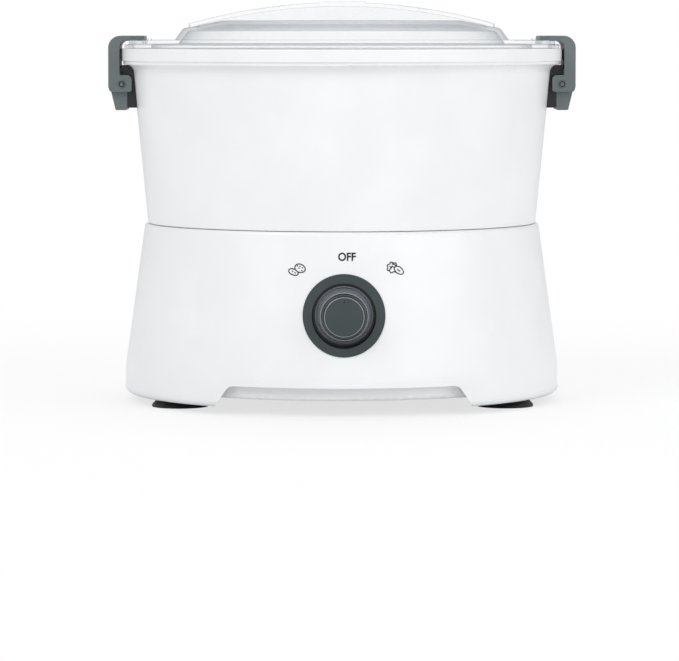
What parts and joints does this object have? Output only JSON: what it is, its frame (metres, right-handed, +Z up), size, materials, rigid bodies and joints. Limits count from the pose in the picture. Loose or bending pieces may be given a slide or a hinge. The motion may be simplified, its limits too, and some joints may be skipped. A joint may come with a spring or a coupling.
{
  "type": "electric potato peeler",
  "caption": "Countertop electric potato peeler: flared motor base with a knob, tapering bowl with a peeling disc, and a clear lid held by side clips.",
  "frame": {"origin": "on the floor under the middle of the round body", "axes": "+Z up, the knob faces -Y, the latches are at -X and +X"},
  "size_m": [0.2696, 0.2648, 0.2312],
  "materials": {
    "white_plastic": "smooth satin moulding",
    "tray_plastic": "fine matt moulding",
    "grey_plastic": "satin moulding",
    "dark_grey_plastic": "satin moulding",
    "black_plastic": "matt moulding",
    "black_rubber": "matt rubber",
    "clear_plastic": "clear polished moulding",
    "gasket_rubber": "soft pale silicone",
    "steel": "bright turned steel",
    "zinc_steel": "plated sheet steel",
    "brass": "turned sintered bronze",
    "copper": "enamelled copper wire",
    "magnet": "dull ferrite",
    "carbon": "dull carbon",
    "gear_plastic": "natural acetal",
    "board_green": "lacquered circuit board",
    "grit": "coarse abrasive coating"
  },
  "bodies": {
    "base": {"base_housing": "white_plastic", "bottom_tray": "tray_plastic", "rubber_feet": "black_rubber", "case_screws": "zinc_steel", "knob_bezel": "dark_grey_plastic", "rotary_switch": "black_plastic", "switch_nut": "zinc_steel", "cable_gland": "black_rubber", "cord_clamp": "black_plastic", "clamp_screws": "zinc_steel", "control_board": "board_green", "board_parts": "black_plastic", "board_screws": "zinc_steel", "micro_switch": "black_plastic", "interlock_spring": "steel", "motor_can": "zinc_steel", "motor_end_cap": "black_plastic", "motor_bushes": "brass", "motor_magnets": "magnet", "motor_brushes": "carbon", "motor_screws": "zinc_steel", "gear_plate": "zinc_steel", "gear_cover": "gear_plastic", "idler_axle": "steel", "output_bushes": "brass", "shaft_seal": "black_rubber"},
    "control_knob": {"knob": "grey_plastic", "knob_cap": "dark_grey_plastic", "knob_shaft": "steel"},
    "interlock": {"interlock_pin": "grey_plastic"},
    "output_drive": {"output_gear": "gear_plastic", "output_shaft": "steel", "output_clip": "steel", "drive_dog": "gear_plastic"},
    "idler": {"idler_gear": "gear_plastic"},
    "rotor": {"rotor_shaft": "steel", "rotor_core": "steel", "rotor_winding": "copper", "commutator": "copper", "cooling_fan": "black_plastic", "motor_pinion": "brass"},
    "bowl": {"peeling_bowl": "white_plastic", "spindle_bush": "brass", "spindle_seal": "black_rubber", "left_latch_bracket": "grey_plastic", "right_latch_bracket": "grey_plastic", "left_latch_pad": "black_plastic", "right_latch_pad": "black_plastic", "left_latch_pin": "grey_plastic", "right_latch_pin": "grey_plastic", "bracket_screws": "zinc_steel"},
    "spindle": {"drive_spindle": "gear_plastic", "spindle_clip": "steel"},
    "disc": {"peeling_disc": "tray_plastic", "disc_grit": "grit", "disc_knob": "grey_plastic"},
    "lid_unit": {"lid": "clear_plastic", "lid_gasket": "gasket_rubber"},
    "left_clip": {"left_latch": "grey_plastic"},
    "right_clip": {"right_latch": "grey_plastic"}
  },
  "joints": [
    {"name": "knob_turn", "type": "hinge", "parent": "base", "child": "control_knob", "pos_m": [0, -0.12, 0.0569], "axis": [0, -1, 0], "range_deg": [-45, 45]},
    {"name": "output_spin", "type": "hinge", "parent": "base", "child": "output_drive", "pos_m": [0, 0, 0.09], "axis": [0, 0, 1], "continuous": true},
    {"name": "idler_spin", "type": "hinge", "parent": "base", "child": "idler", "pos_m": [-0.01684, 0.03356, 0.085], "axis": [0, 0, 1], "continuous": true},
    {"name": "rotor_spin", "type": "hinge", "parent": "base", "child": "rotor", "pos_m": [0, 0.056, 0.05], "axis": [0, 0, 1], "continuous": true},
    {"name": "bowl_lift", "type": "slide", "parent": "base", "child": "bowl", "axis": [0, 0, 1], "range_m": [0, 0.06]},
    {"name": "interlock_press", "type": "slide", "parent": "base", "child": "interlock", "axis": [0, 0, 1], "range_m": [0, 0.003]},
    {"name": "spindle_spin", "type": "hinge", "parent": "bowl", "child": "spindle", "pos_m": [0, 0, 0.125], "axis": [0, 0, 1], "continuous": true},
    {"name": "disc_lift", "type": "slide", "parent": "spindle", "child": "disc", "axis": [0, 0, 1], "range_m": [0, 0.055]},
    {"name": "lid_lift", "type": "slide", "parent": "bowl", "child": "lid_unit", "axis": [0, 0, 1], "range_m": [0, 0.0297]},
    {"name": "left_latch_swing", "type": "hinge", "parent": "bowl", "child": "left_clip", "pos_m": [-0.1271, 0, 0.1833], "axis": [0, -1, 0], "range_deg": [0, 110]},
    {"name": "right_latch_swing", "type": "hinge", "parent": "bowl", "child": "right_clip", "pos_m": [0.1271, 0, 0.1833], "axis": [0, 1, 0], "range_deg": [0, 110]}
  ],
  "couplings": [
    {"joint": "idler_spin", "follows": "output_spin", "ratio": -3},
    {"joint": "rotor_spin", "follows": "output_spin", "ratio": 9},
    {"joint": "spindle_spin", "follows": "output_spin", "ratio": 1},
    {"joint": "interlock_press", "follows": "bowl_lift", "ratio": 0.05},
    {"joint": "left_latch_swing", "follows": "lid_lift", "rad_per_m": 64.64},
    {"joint": "right_latch_swing", "follows": "lid_lift", "rad_per_m": 64.64}
  ]
}
